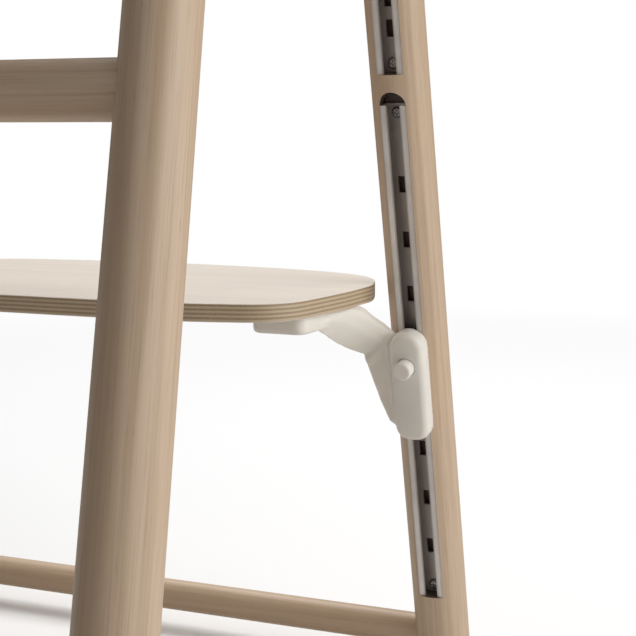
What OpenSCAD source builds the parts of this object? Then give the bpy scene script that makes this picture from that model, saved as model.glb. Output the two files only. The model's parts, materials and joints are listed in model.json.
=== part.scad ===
// Baby high chair: two railed front legs, two splayed rear legs, and a seat and
// a footrest that each slide on the rails and lock into the rail slots.
// Millimetres. Front of the chair is -Y, up is +Z, the child's left is +X.
// Origin: middle of the footprint, on the floor.

/* [Frame] */
// Centre distance of the two front legs
leg_spacing = 430; // [400:5:500]
// Leg diameter
leg_d = 36; // [36:1:44]
// Front-to-rear distance of the leg axes at the floor
foot_depth = 525; // [500:5:640]
// How far each rear leg stands outside the front leg at the floor
rear_foot_out = 42; // [30:1:85]
// Lean of the front legs, back from upright
front_lean = 12.5; // [8:0.5:14]
// Lean of the rear legs, forward from upright, seen from the side
rear_lean = 19.5; // [15:0.5:21]
// Lean of the rear legs, inward from upright, seen from behind
rear_splay = 5.5; // [2:0.5:7]
// Height of the leg tops
leg_top_h = 778; // [740:2:800]
// Height of the rear stretcher's axis
stretcher_h = 388; // [330:2:420]
// Diameter of the stretchers
stretcher_d = 28; // [22:1:32]
// Height of the front stretcher's axis
front_stretcher_h = 24; // [20:1:60]
// Diameter of the front stretcher
front_stretcher_d = 22; // [18:1:28]
// Thickness of the foot glides
glide_t = 5; // [3:1:10]

/* [Plates] */
// Thickness of the plywood
plate_t = 11; // [9:1:18]
// Height of the footrest's top face at rest
footrest_h = 270; // [250:5:290]
// Height of the seat's top face at rest
seat_h = 555; // [552:1:562]
// Reach of the footrest behind the front legs
footrest_rear = 146; // [130:2:170]
// Reach of the footrest in front of the front legs
footrest_front = 67; // [50:1:90]
// Reach of the seat behind the front legs
seat_rear = 180; // [150:5:185]
// Reach of the seat in front of the front legs
seat_front = 56; // [40:1:80]
// Gap between a plate's side edge and a front leg
plate_gap = 6; // [4:0.5:10]
// Radius of a plate's rear corners
rear_corner_r = 34; // [26:1:40]
// Radius of a plate's front corners
front_corner_r = 56; // [44:1:62]

/* [Rails] */
// Outer width of a rail
rail_w = 16.8; // [14:0.2:18]
// Depth of a rail
rail_depth = 9.5; // [8:0.5:11]
// Wall of a rail
rail_wall = 1.6; // [1.2:0.1:2]
// Gap between the rail's lips
lip_gap = 8.4; // [7.6:0.2:9]
// Distance between the footrest rails' slots
footrest_pitch = 35.5; // [30:0.5:36]
// Distance between the seat rails' slots
seat_pitch = 18; // [16:0.5:18]
// Length of a rail slot
slot_l = 10.4; // [9.6:0.2:12]
// Width of a rail slot
slot_w = 6.6; // [6:0.2:7]
// Slot steps the footrest can move, each way
footrest_steps = 3; // [1:1:3]
// Slot steps the seat can move, each way
seat_steps = 3; // [1:1:3]

/* [Slider] */
// Width of a slider
slider_w = 23; // [22:0.5:26]
// Length of a slider
slider_l = 73.5; // [72:0.5:80]
// Distance from a plate's top down to the slider's top
slider_drop = 23.5; // [21:0.5:26]
// Diameter of a release button
button_d = 11.8; // [10:0.2:13]
// Height of a button above its slider
button_out = 7.8; // [7:0.2:12]
// Travel of a button
button_travel = 3.5; // [3:0.1:3.6]

/* [Back and guard] */
// Height of the backrest's lower edge
back_low = 662; // [650:2:680]
// Height of the backrest's upper edge
back_high = 836; // [800:2:860]
// Thickness of the backrest
back_t = 9; // [7:0.5:12]
// Diameter of the guard bar
guard_d = 18; // [14:1:22]
// Reach of the guard bar from its pivots
guard_reach = 176; // [150:2:200]

/* [Fits] */
// Clearance round a rail in its groove
groove_clear = 0.1; // [0.05:0.05:0.3]
// Gap between pieces that slide past each other
slide_gap = 0.4; // [0.3:0.1:0.6]
// Radial clearance of a turning pin
pin_clear = 0.05; // [0.02:0.01:0.1]

/* [Hidden] */
$fn = 64;
eps = 0.01;
hull_fn = 32;
through = 1;

leg_r = leg_d / 2;
side_x = leg_spacing / 2;
front_slope = tan(front_lean);
rear_slope = tan(rear_lean);
splay_slope = tan(rear_splay);
// rotation about X that gives the rear leg its side-view lean after the splay
rear_tilt = atan(rear_slope * cos(rear_splay));
front_edge = leg_r / cos(front_lean) - glide_t * front_slope;
rear_edge = leg_r * sqrt(1 + rear_slope ^ 2) - glide_t * rear_slope;
front_y = -(foot_depth + rear_edge - front_edge) / 2;
rear_y = front_y + foot_depth;
rear_x = side_x + rear_foot_out;
up_len = leg_top_h / cos(front_lean);
rear_len = leg_top_h * sqrt(1 + rear_slope ^ 2 + splay_slope ^ 2);
glide_d = leg_d - 8;

// rail section, measured from the leg axis along the leg's rear normal
lip_t = 1.5;
rail_face = sqrt(leg_r ^ 2 - (rail_w / 2) ^ 2) - 0.2;
rail_back = rail_face - rail_depth;
web_face = rail_back + rail_wall;
groove_w = rail_w + 2 * groove_clear;

// places along the leg, measured from where a plate's top crosses the leg axis
slider_top = -slider_drop;
slider_bottom = slider_top - slider_l;
button_s = slider_top - 22.5;
pivot_s = button_s - 14.5;
tip_s = pivot_s - 13.35;
slot_centre = tip_s - 0.9;
rail_margin = 12;
top_reserve = 23;
seat_reserve = 4.5;
seat_low_margin = 4;
footrest_travel = footrest_steps * footrest_pitch;
seat_travel = seat_steps * seat_pitch;
footrest_s = footrest_h / cos(front_lean);
seat_s = seat_h / cos(front_lean);
footrest_rail_top = slider_top + footrest_travel + rail_margin + top_reserve;
footrest_rail_low = slider_bottom - footrest_travel - rail_margin;
seat_rail_low = slider_bottom - seat_travel - seat_low_margin;
seat_rail_top = slider_top + seat_travel + rail_margin + seat_reserve;
screw_inset = 5.5;
rail_head_d = 7;
rail_head_t = 2;
rail_bite = 12;
// room behind the slots for the latch tips
relief_t = 4;
relief_side = 0.7;
relief_end = 1;

// runners, from the slider's ends
shoe_top = 3;
shoe_l = 13;
shoe_low = 8;
shoe_low_l = 7;

// slider stack, outward from the rail's face
base_t = 3;
cover_t = 9.8;
cover_wall = 1.8;
dome_inset = 3.4;
dome_edge = 1;
dome_steps = [4.9, 2.4, 0.8];
cavity_roof = 0.6;
window_end = 4.5;
base_n = rail_face + slide_gap;
cover_n = base_n + base_t;
cover_out = cover_n + cover_t;
lever_t = 3;
lever_w = 6;
lever_n = cover_n + 0.1;
pivot_n = lever_n + lever_t / 2;
pivot_d = 2.4;
tip_l = 7.5;
tip_w = 5;
// the button's nub rests on a round bump across the rocker's upper end
bump_r = 1.2;
bump_n = pivot_n + 1.28;
nub_d = 5;
nub_n = bump_n + bump_r + 0.05;
flange_n = nub_n + 0.95;
flange_d = button_d + 2.4;
flange_t = 1.5;
button_hole_clear = 0.15;
cavity_w = slider_w - 2 * cover_wall - 1.2;
cavity_end = 2;
spring_turns = 4;
spring_wire = 0.6;
spring_d = 5;
spring_up = 4;
spring_end = 0.1;

// bracket under a plate: x inboard and y rearward from the leg axis, z from the
// plate's underside
plate_x = leg_r + plate_gap;
flange_thick = 11;
flange_x = plate_x + 8;
flange_w = 36;
flange_y = 28;
flange_rear = 100;
flange_corner = 6;
knee_r = 4;
knee_high = [plate_x + 2, 31, -9];
knee_low = [plate_x + 11, 42, -20];
knee_h = 6;
knee_ends = [[flange_x, 40], [flange_x + 4, 76]];
// x inboard and distance along the leg
fold_points = [[12.5, slider_top - 4], [26, button_s + 2]];
fold_in = 0.3;
fold_out = 1.1;
web_points = [[29, button_s], [9, slider_top - 10], [14.5, slider_bottom + 14], [9, slider_bottom + 8]];
web_r = 2;
web_t = 4.5;
screw_x = plate_x + 28;
screw_ys = [48, 84];
screw_d = 4;
screw_hole_d = 4.4;
screw_head_d = 8;
screw_head_t = 2.6;
screw_bite = 8;

// top joint, backrest and guard bar
joint_low = leg_top_h - 42;
joint_wall = 4.2;
joint_cap = 8;
socket_clear = 0.1;
joint_screw_z = leg_top_h - 17;
head_sink = 1.2;
back_mid_y = 64;
arm_angle = 21;
arm_gap = 1;
back_corner_r = 62;
corner_steps = 10;
back_round = 40;
arm_low = leg_top_h - 36;
arm_high = leg_top_h + 4;
// pad on the top joint that the backrest's arm is screwed to
pad_t = 12;
pad_from = 3;
pad_l = 64;
pad_edge = 2;
arm_screw_runs = [14, 34];
arm_bite = 9;
arm_head_t = 2.4;
guard_y = front_y + front_slope * (leg_top_h - 28) - 4;
guard_z = leg_top_h - 28;
guard_side_gap = 7.5;
joint_inner_x = side_x - leg_r - joint_wall;
guard_x = joint_inner_x - guard_side_gap - guard_d / 2;
guard_tilt = 11.5;
guard_corner_r = 70;
guard_pin_d = 6;
guard_pin_end = leg_r + 0.5;
guard_collar = 6;
guard_head = 5;
guard_head_t = 2;
guard_eye_w = guard_d;
guard_eye_d = guard_d + 3;
post_low = seat_h + 60;
post_w = 46;
post_t = 12;
post_taper = 6;
post_y = guard_y - guard_reach * cos(guard_tilt);
post_z = guard_z - guard_reach * sin(guard_tilt);
post_screw_x = 12;
post_screw_low = 7;
post_screw_l = 12;

// stretcher dowels
dowel_d = 10;
dowel_in_leg = 8;
dowel_in_bar = 30;

// plate outline: both long edges are bowed, the corners are circles set a
// little inside them
rear_bow = 4.4;
rear_flat = 61;
front_bow = 12;
front_flat = 68;
bow_steps = 6;
edge_r = 1;
corner_side = 5;
rear_corner_set = 11;
front_corner_set = 19;
front_side = 79;
rear_side = 91;

sides = [-1, 1];

// ---- places ----

// right-hand (-X) pieces are drawn once and mirrored for the left (+X)
module on_side(side) {
    if (side > 0) mirror([1, 0, 0]) children();
    else children();
}

// x inboard, y along the rear normal, z up the front leg from the floor
module on_front_leg(side) {
    on_side(side) translate([-side_x, front_y, 0]) rotate([-front_lean, 0, 0]) children();
}

module on_rear_leg(side) {
    on_side(side) translate([-rear_x, rear_y, 0]) rotate([rear_tilt, rear_splay, 0]) children();
}

// level frame at a plate's top face, origin on the front leg's axis
module at_plate(side, h) {
    on_side(side) translate([-side_x, front_y + front_slope * h, h]) children();
}

// leg frame raised to where a plate's top face crosses the leg
module on_slider(side, h) {
    on_front_leg(side) translate([0, 0, h / cos(front_lean)]) children();
}

// axis along the leg's rear normal
module out_cylinder(d, from, to, x = 0, s = 0) {
    translate([x, from, s]) rotate([-90, 0, 0]) cylinder(d = d, h = to - from);
}

module stadium(w, from, to, low, high) {
    r = w / 2;
    for (s = [low + r, high - r]) out_cylinder(w, from, to, 0, s);
    translate([-r, from, low + r]) cube([w, to - from, high - low - w]);
}

function rear_axis(z) = [-(rear_x - splay_slope * z), rear_y - rear_slope * z, z];

// ---- frame ----

module groove(low, high) {
    floor_n = rail_back - groove_clear;
    translate([-groove_w / 2, floor_n, low]) cube([groove_w, leg_d, high - low]);
    out_cylinder(groove_w, floor_n, leg_d, 0, high);
}

function slots(pitch, steps) = [for (i = [-steps:steps + 1]) slot_centre + i * pitch];

module slot_relief(pitch, steps) {
    low = slots(pitch, steps)[0] - slot_l / 2 - relief_end;
    high = slots(pitch, steps)[2 * steps + 1] + slot_l / 2 + relief_end;
    w = slot_w + 2 * relief_side;
    translate([-w / 2, rail_back - relief_t, low]) cube([w, relief_t, high - low]);
}

module rail(low, high, pitch, steps) {
    color("darkgray") difference() {
        translate([-rail_w / 2, rail_back, low]) cube([rail_w, rail_depth, high - low]);
        translate([rail_wall - rail_w / 2, web_face, low - through])
            cube([rail_w - 2 * rail_wall, rail_depth - rail_wall - lip_t, high - low + 2 * through]);
        translate([-lip_gap / 2, web_face, low - through])
            cube([lip_gap, rail_depth, high - low + 2 * through]);
        for (s = slots(pitch, steps))
            translate([-slot_w / 2, rail_back - through, s - slot_l / 2])
                cube([slot_w, rail_wall + 2 * through, slot_l]);
        for (s = [low + screw_inset, high - screw_inset])
            out_cylinder(screw_hole_d, rail_back - through, web_face + through, 0, s);
    }
}

module footrest_rail(side) {
    on_slider(side, footrest_h) rail(footrest_rail_low, footrest_rail_top, footrest_pitch, footrest_steps);
}

module seat_rail(side) {
    on_slider(side, seat_h) rail(seat_rail_low, seat_rail_top, seat_pitch, seat_steps);
}

module rail_screw(s) {
    out_cylinder(rail_head_d, web_face, web_face + rail_head_t, 0, s);
    out_cylinder(screw_d, rail_back - rail_bite, web_face + eps, 0, s);
}

module front_leg(side) {
    color("burlywood") difference() {
        on_front_leg(side) difference() {
            translate([0, 0, -2 * leg_d]) cylinder(r = leg_r, h = up_len + 4 * leg_d);
            translate([0, 0, footrest_s]) groove(footrest_rail_low, footrest_rail_top);
            translate([0, 0, seat_s]) groove(seat_rail_low, seat_rail_top);
            translate([0, 0, footrest_s]) slot_relief(footrest_pitch, footrest_steps);
            translate([0, 0, seat_s]) slot_relief(seat_pitch, seat_steps);
            for (s = [footrest_s + footrest_rail_low + screw_inset,
                      footrest_s + footrest_rail_top - screw_inset,
                      seat_s + seat_rail_low + screw_inset, seat_s + seat_rail_top - screw_inset])
                out_cylinder(screw_d, rail_back - rail_bite, rail_back, 0, s);
        }
        frame_cut();
        dowels(front_stretcher_ends());
        on_side(side) joint_screw();
    }
}

module rear_leg(side) {
    color("burlywood") difference() {
        on_rear_leg(side) translate([0, 0, -2 * leg_d]) cylinder(r = leg_r, h = rear_len + 4 * leg_d);
        frame_cut();
        dowels(rear_stretcher_ends());
        on_side(side) joint_screw();
    }
}

// levels the legs at the glides and at their tops
module frame_cut() {
    big = 2 * (foot_depth + leg_spacing);
    translate([-big / 2, -big / 2, glide_t - big]) cube([big, big, big]);
    translate([-big / 2, -big / 2, leg_top_h]) cube([big, big, big]);
}

module foot_glides() {
    color("gainsboro") for (side = sides) on_side(side) {
        translate([-side_x, front_y + glide_t * front_slope, 0]) cylinder(d = glide_d, h = glide_t);
        translate([rear_axis(glide_t)[0], rear_axis(glide_t)[1], 0]) cylinder(d = glide_d, h = glide_t);
    }
}

function front_stretcher_ends() = [side_x, front_y + front_slope * front_stretcher_h, front_stretcher_h];
function rear_stretcher_ends() = [-rear_axis(stretcher_h)[0], rear_axis(stretcher_h)[1], stretcher_h];

module cross_cylinder(at, d, from_x, to_x) {
    translate([from_x, at[1], at[2]]) rotate([0, 90, 0]) cylinder(d = d, h = to_x - from_x);
}

module dowels(at) {
    for (side = sides) on_side(side)
        cross_cylinder(at, dowel_d, -at[0] - dowel_in_leg, -at[0] + leg_r + dowel_in_bar);
}

module front_stretcher() {
    at = front_stretcher_ends();
    color("burlywood") difference() {
        cross_cylinder(at, front_stretcher_d, -at[0], at[0]);
        for (side = sides) on_front_leg(side) cylinder(r = leg_r, h = up_len);
        dowels(at);
    }
}

module rear_stretcher() {
    at = rear_stretcher_ends();
    color("burlywood") difference() {
        cross_cylinder(at, stretcher_d, -at[0], at[0]);
        for (side = sides) on_rear_leg(side) cylinder(r = leg_r, h = rear_len);
        dowels(at);
    }
}

module stretcher_dowels() {
    color("tan") {
        dowels(front_stretcher_ends());
        dowels(rear_stretcher_ends());
    }
}

module rail_screws() {
    color("silver") for (side = sides) on_front_leg(side) {
        for (s = [footrest_rail_low + screw_inset, footrest_rail_top - screw_inset])
            translate([0, 0, footrest_s]) rail_screw(s);
        for (s = [seat_rail_low + screw_inset, seat_rail_top - screw_inset])
            translate([0, 0, seat_s]) rail_screw(s);
    }
}

// ---- top joint, backrest ----

// level frame on the outer face of the backrest's right arm: x inward through it,
// y rearward along it
module on_arm() {
    translate([arm_end[0], arm_end[1], 0]) rotate([0, 0, -arm_angle]) children();
}

module joint_body() {
    low = joint_low / cos(front_lean);
    rear_low = rear_len * joint_low / leg_top_h;
    hull($fn = hull_fn) {
        on_front_leg(-1) translate([0, 0, low])
            cylinder(r = leg_r + joint_wall, h = up_len + joint_cap - low);
        on_rear_leg(-1) translate([0, 0, rear_low])
            cylinder(r = leg_r + joint_wall, h = rear_len + joint_cap - rear_low);
    }
    on_arm() translate([-pad_t, pad_from, arm_low + pad_edge])
        cube([pad_t, pad_l, arm_high - arm_low - 2 * pad_edge]);
}

// screws from outside into the leg tops, heads sunk in the joint
module joint_screw(drill = false) {
    front = [-side_x, front_y + front_slope * joint_screw_z, joint_screw_z];
    rear = rear_axis(joint_screw_z);
    for (p = [front, rear]) {
        face = p[0] - leg_r - joint_wall;
        cross_cylinder(p, screw_d, face + head_sink, p[0]);
        cross_cylinder(p, screw_head_d, face + head_sink - (drill ? 3 * joint_wall : 0),
            face + head_sink + screw_head_t);
    }
}

module top_joint(side) {
    big = 2 * foot_depth;
    color("whitesmoke") difference() {
        on_side(side) joint_body();
        difference() {
            union() {
                on_front_leg(side) cylinder(r = leg_r + socket_clear, h = up_len + leg_d);
                on_rear_leg(side) cylinder(r = leg_r + socket_clear, h = rear_len + leg_d);
            }
            translate([-big / 2, -big / 2, leg_top_h + socket_clear]) cube([big, big, big]);
        }
        on_side(side) joint_screw(drill = true);
        arm_screws(side);
        guard_pin(side);
    }
}

module joint_screws() {
    color("silver") for (side = sides) on_side(side) joint_screw();
}

// line of the backrest's outer face, seen from above, right half: from its end
// on the top joint, round the corner, to the middle
arm_end = [back_t + arm_gap - joint_inner_x, front_y + front_slope * leg_top_h + 8];
function turn(a) = [sin(a), cos(a)];
arm_run = (back_mid_y - arm_end[1] - back_corner_r * (1 - sin(arm_angle))) / cos(arm_angle);
arm_top = arm_end + arm_run * turn(arm_angle);
corner_mid = arm_top + back_corner_r * [cos(arm_angle), -sin(arm_angle)];
function half_line(t) = concat(
    [arm_end + [back_t - t, 0] / cos(arm_angle)],
    [for (i = [0:corner_steps]) let (a = 180 - arm_angle - i * (90 - arm_angle) / corner_steps)
        corner_mid + (back_corner_r + t - back_t) * [cos(a), sin(a)]]);
function mirrored(points) = [for (i = [len(points) - 1:-1:0]) [-points[i][0], points[i][1]]];
function reversed(points) = [for (i = [len(points) - 1:-1:0]) points[i]];
function whole_line(t) = concat(half_line(t), mirrored(half_line(t)));

// seen from the front: full height in the middle, narrow on the arms
module back_outline() {
    start = arm_top[0] + 6;
    top = 2 * corner_steps;
    blend = [for (i = [0:top]) let (u = i / top) [start + 2 * u * back_round, (1 - cos(180 * u)) / 2]];
    right = concat([[-leg_spacing, arm_low]],
        [for (p = blend) [p[0], arm_low + (back_low - arm_low) * p[1]]]);
    upper = concat([[-leg_spacing, arm_high]],
        [for (p = blend) [p[0], arm_high + (back_high - arm_high) * p[1]]]);
    polygon(concat(right, mirrored(right), [for (p = upper) [-p[0], p[1]]], reversed(upper)));
}

module backrest() {
    color("bisque") difference() {
        intersection() {
            translate([0, 0, back_low - 5]) linear_extrude(back_high - back_low + 10)
                polygon(concat(whole_line(back_t), reversed(whole_line(0))));
            translate([0, leg_spacing, 0]) rotate([90, 0, 0])
                linear_extrude(2 * leg_spacing) back_outline();
        }
        for (side = sides) arm_screws(side);
    }
}

// two screws a side, from inside the arm into the top joint
module arm_screws(side) {
    on_side(side) on_arm() for (run = arm_screw_runs)
        translate([0, run, (arm_low + arm_high) / 2]) rotate([0, 90, 0]) {
            translate([0, 0, -arm_bite]) cylinder(d = screw_d, h = back_t + arm_bite);
            translate([0, 0, back_t]) cylinder(d = screw_head_d, h = arm_head_t);
        }
}

module backrest_screws() {
    color("silver") for (side = sides) arm_screws(side);
}

// ---- guard bar ----

module guard_frame() {
    translate([0, guard_y, guard_z]) rotate([guard_tilt, 0, 0]) children();
}

// a pin with a collar let into the top joint
module guard_pin(side) {
    at = [0, guard_y, guard_z];
    on_side(side) {
        cross_cylinder(at, guard_pin_d, -side_x + guard_pin_end, -guard_x + guard_eye_w / 2 + slide_gap);
        cross_cylinder(at, guard_pin_d + guard_collar, -joint_inner_x,
            -guard_x - guard_eye_w / 2 - slide_gap);
    }
}

// with a head on the inner side
module guard_pivots() {
    inner = -guard_x + guard_eye_w / 2 + slide_gap;
    color("silver") for (side = sides) {
        guard_pin(side);
        on_side(side) cross_cylinder([0, guard_y, guard_z], guard_pin_d + guard_head,
            inner, inner + guard_head_t);
    }
}

module guard_bar() {
    run = guard_reach - guard_corner_r;
    color("burlywood") difference() {
        union() {
            guard_frame() {
                for (side = sides) on_side(side) {
                    translate([-guard_x, 0, 0]) rotate([90, 0, 0]) cylinder(d = guard_d, h = run);
                    translate([-guard_x + guard_corner_r, -run, 0]) rotate([0, 0, 180])
                        rotate_extrude(angle = 90) translate([guard_corner_r, 0]) circle(d = guard_d);
                }
                translate([-guard_x + guard_corner_r, -guard_reach, 0]) rotate([0, 90, 0])
                    cylinder(d = guard_d, h = 2 * (guard_x - guard_corner_r));
            }
            for (side = sides) on_side(side) cross_cylinder([0, guard_y, guard_z], guard_eye_d,
                -guard_x - guard_eye_w / 2, -guard_x + guard_eye_w / 2);
        }
        for (side = sides) on_side(side) cross_cylinder([0, guard_y, guard_z], guard_pin_d + 2 * pin_clear,
            -guard_x - guard_d, -guard_x + guard_d);
        crotch_screw();
    }
}

module crotch_post() {
    color("whitesmoke") difference() {
        hull($fn = hull_fn) {
            translate([-post_w / 2, post_y - 2, post_z - guard_d / 2 - 4]) rotate([0, 90, 0])
                cylinder(d = 2 * post_t, h = post_w);
            translate([post_taper - post_w / 2, post_y + post_t, post_low + post_t / 2]) rotate([0, 90, 0])
                cylinder(d = post_t, h = post_w - 2 * post_taper);
        }
        guard_frame() translate([-post_w, -guard_reach, 0]) rotate([0, 90, 0])
            cylinder(d = guard_d, h = 2 * post_w);
        crotch_screw();
    }
}

module crotch_screw() {
    guard_frame() for (side = sides)
        translate([side * post_screw_x, -guard_reach, -guard_d / 2 - post_screw_low])
            cylinder(d = screw_d, h = post_screw_l);
}

module crotch_screws() {
    color("silver") crotch_screw();
}

// ---- plates ----

module edge_point(x, y) {
    for (side = sides) translate([side * (x - edge_r), y]) circle(r = edge_r, $fn = 16);
}

module plate_outline(front, rear) {
    half = side_x - plate_x;
    hull($fn = hull_fn) {
        for (u = [0:1 / bow_steps:1]) {
            edge_point(u * (half - rear_flat) + edge_r, rear - rear_bow * u ^ 3 - edge_r);
            edge_point(u * (half - front_flat) + edge_r, edge_r - front + front_bow * u ^ 2);
        }
        for (side = sides) {
            translate([side * (half - rear_corner_r - corner_side), rear - rear_corner_r - rear_corner_set])
                circle(r = rear_corner_r);
            translate([side * (half - front_corner_r - corner_side),
                front_corner_r - front + front_corner_set]) circle(r = front_corner_r);
        }
        edge_point(half, front_side - front);
        edge_point(half, rear - rear_side);
    }
}

module plate(h, front, rear) {
    color("linen") difference() {
        translate([0, front_y + front_slope * h, h - plate_t])
            linear_extrude(plate_t) plate_outline(front, rear);
        for (side = sides) at_plate(side, h) for (y = screw_ys)
            translate([screw_x, y, -plate_t - through]) cylinder(d = screw_d, h = screw_bite + through);
    }
}

module plate_screws(h) {
    color("silver") for (side = sides) at_plate(side, h) for (y = screw_ys) translate([screw_x, y, 0]) {
        translate([0, 0, -plate_t - flange_thick - eps])
            cylinder(d = screw_d, h = flange_thick + screw_bite);
        translate([0, 0, -plate_t - flange_thick]) cylinder(d = screw_head_d, h = screw_head_t);
    }
}

// ---- bracket and slider ----

module knee_middle(side, h) {
    at_plate(side, h) for (p = [knee_high, knee_low])
        translate([p[0], p[1], p[2] - plate_t]) cylinder(r = knee_r, h = knee_h);
}

module bracket(side, h) {
    color("whitesmoke") difference() {
        union() {
            // flange under the plate
            at_plate(side, h) hull($fn = hull_fn)
                for (x = [flange_x + flange_corner, flange_x + flange_w - flange_corner],
                     y = [flange_y + flange_corner, flange_rear - flange_corner])
                    translate([x, y, -plate_t - flange_thick])
                        cylinder(r = flange_corner, h = flange_thick);
            // knee from the slider up to the flange
            hull($fn = hull_fn) {
                knee_middle(side, h);
                at_plate(side, h) for (p = knee_ends)
                    translate([p[0], p[1], -plate_t - flange_thick - through])
                        cylinder(r = knee_r, h = flange_thick);
            }
            hull($fn = hull_fn) {
                knee_middle(side, h);
                on_slider(side, h) for (p = fold_points)
                    out_cylinder(2 * knee_r, base_n + fold_in, base_n + web_t + fold_out, p[0], p[1]);
            }
            on_slider(side, h) {
                // web beside the slider
                hull($fn = hull_fn) for (p = web_points)
                    out_cylinder(2 * web_r, base_n, base_n + web_t, p[0], p[1]);
                stadium(slider_w, base_n, cover_n, slider_bottom, slider_top);
            }
        }
        on_slider(side, h) {
            // window for the latch
            translate([-lip_gap / 2, base_n - through, tip_s - tip_l])
                cube([lip_gap, base_t + 2 * through, button_s + window_end - tip_s + tip_l]);
            // seat of the cover, and a flat inner side for the leg
            stadium(slider_w + 2 * eps, cover_n, cover_n + slider_w, slider_bottom, slider_top);
        }
        at_plate(side, h) for (y = screw_ys) translate([screw_x, y, -plate_t - flange_thick - 1]) {
            cylinder(d = screw_d, h = flange_thick + 2);
            cylinder(d = screw_head_d, h = screw_head_t + 1);
        }
    }
}

module cover(side, h) {
    color("whitesmoke") on_slider(side, h) difference() {
        hull() {
            stadium(slider_w, cover_n, cover_n + cover_t - dome_steps[0], slider_bottom, slider_top);
            stadium(slider_w - 2 * dome_edge, cover_n, cover_n + cover_t - dome_steps[1],
                slider_bottom + dome_edge, slider_top - dome_edge);
            stadium(slider_w - 2 * dome_inset, cover_n, cover_n + cover_t - dome_steps[2],
                slider_bottom + dome_inset, slider_top - dome_inset);
            stadium(slider_w - 4 * dome_inset, cover_n, cover_n + cover_t,
                slider_bottom + 2 * dome_inset, slider_top - 2 * dome_inset);
        }
        stadium(cavity_w, cover_n - through, cover_n + cover_t - cover_wall - cavity_roof,
            tip_s - tip_l - cavity_end, button_s + cavity_w / 2);
        out_cylinder(button_d + 2 * button_hole_clear, cover_n, cover_n + 2 * cover_t, 0, button_s);
    }
}

// T-shaped nylon runners, captive behind the rail's lips
module shoe(low, high) {
    head_w = rail_w - 2 * rail_wall - 2 * slide_gap;
    neck_w = lip_gap - 2 * slide_gap;
    head_n = web_face + slide_gap;
    translate([-head_w / 2, head_n, low])
        cube([head_w, rail_face - lip_t - slide_gap - head_n, high - low]);
    translate([-neck_w / 2, head_n, low]) cube([neck_w, base_n - head_n, high - low]);
}

module shoes(h) {
    color("dimgray") for (side = sides) on_slider(side, h) {
        shoe(slider_top - shoe_top - shoe_l, slider_top - shoe_top);
        shoe(slider_bottom + shoe_low, slider_bottom + shoe_low + shoe_low_l);
    }
}

module button(side, h) {
    color("whitesmoke") on_slider(side, h) {
        out_cylinder(nub_d, nub_n, flange_n + eps, 0, button_s);
        out_cylinder(flange_d, flange_n, flange_n + flange_t, 0, button_s);
        out_cylinder(button_d, flange_n, cover_n + cover_t + button_out, 0, button_s);
    }
}

// rocker: the button pushes its upper end in, its lower end lifts the tip out
module latch(side, h) {
    tip_n = rail_back + 0.2;
    color("slategray") on_slider(side, h) difference() {
        union() {
            translate([-lever_w / 2, lever_n, tip_s - tip_l / 2 - 1])
                cube([lever_w, lever_t, button_s + 3.5 - tip_s + tip_l / 2 + 1]);
            translate([-tip_w / 2, tip_n, tip_s - tip_l / 2]) cube([tip_w, lever_n - tip_n + eps, tip_l]);
            translate([-lever_w / 2, bump_n, button_s]) rotate([0, 90, 0])
                cylinder(r = bump_r, h = lever_w);
        }
        latch_pin(grow = 2 * pin_clear);
    }
}

module latch_pin(grow = 0) {
    translate([-cavity_w / 2, pivot_n, pivot_s]) rotate([0, 90, 0])
        cylinder(d = pivot_d + grow, h = cavity_w);
}

module latch_pins(h) {
    color("silver") for (side = sides) on_slider(side, h) latch_pin();
}

module spring(side, h) {
    from = lever_n + lever_t + spring_end;
    to = cover_n + cover_t - cover_wall - cavity_roof - spring_end;
    rings = spring_turns + 1;
    step = (to - from - spring_wire) / spring_turns;
    color("silver") on_slider(side, h)
        for (i = [0:spring_turns])
            translate([0, from + spring_wire / 2 + i * step, tip_s + spring_up]) rotate([-90, 0, 0])
                rotate_extrude() translate([(spring_d - spring_wire) / 2, 0])
                    circle(d = spring_wire, $fn = 16);
}

front_leg(1);  // front_leg_left
front_leg(-1);  // front_leg_right
rear_leg(1);  // rear_leg_left
rear_leg(-1);  // rear_leg_right
foot_glides();
front_stretcher();
rear_stretcher();
stretcher_dowels();
footrest_rail(1);  // footrest_rail_left
footrest_rail(-1);  // footrest_rail_right
seat_rail(1);  // seat_rail_left
seat_rail(-1);  // seat_rail_right
rail_screws();
top_joint(1);  // top_joint_left
top_joint(-1);  // top_joint_right
joint_screws();
backrest();
backrest_screws();
guard_pivots();
plate(footrest_h, footrest_front, footrest_rear);  // footrest_plate
bracket(1, footrest_h);  // footrest_bracket_left
bracket(-1, footrest_h);  // footrest_bracket_right
cover(1, footrest_h);  // footrest_cover_left
cover(-1, footrest_h);  // footrest_cover_right
shoes(footrest_h);  // footrest_shoes
plate_screws(footrest_h);  // footrest_screws
latch_pins(footrest_h);  // footrest_latch_pins
button(1, footrest_h);  // footrest_button_left
button(-1, footrest_h);  // footrest_button_right
latch(1, footrest_h);  // footrest_latch_left
latch(-1, footrest_h);  // footrest_latch_right
spring(1, footrest_h);  // footrest_spring_left
spring(-1, footrest_h);  // footrest_spring_right
plate(seat_h, seat_front, seat_rear);  // seat_plate
bracket(1, seat_h);  // seat_bracket_left
bracket(-1, seat_h);  // seat_bracket_right
cover(1, seat_h);  // seat_cover_left
cover(-1, seat_h);  // seat_cover_right
shoes(seat_h);  // seat_shoes
plate_screws(seat_h);  // seat_screws
latch_pins(seat_h);  // seat_latch_pins
button(1, seat_h);  // seat_button_left
button(-1, seat_h);  // seat_button_right
latch(1, seat_h);  // seat_latch_left
latch(-1, seat_h);  // seat_latch_right
spring(1, seat_h);  // seat_spring_left
spring(-1, seat_h);  // seat_spring_right
guard_bar();
crotch_post();
crotch_screws();
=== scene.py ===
import json
import math
import bpy
import bmesh
from mathutils import Matrix, Vector
from mathutils.bvhtree import BVHTree


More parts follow.
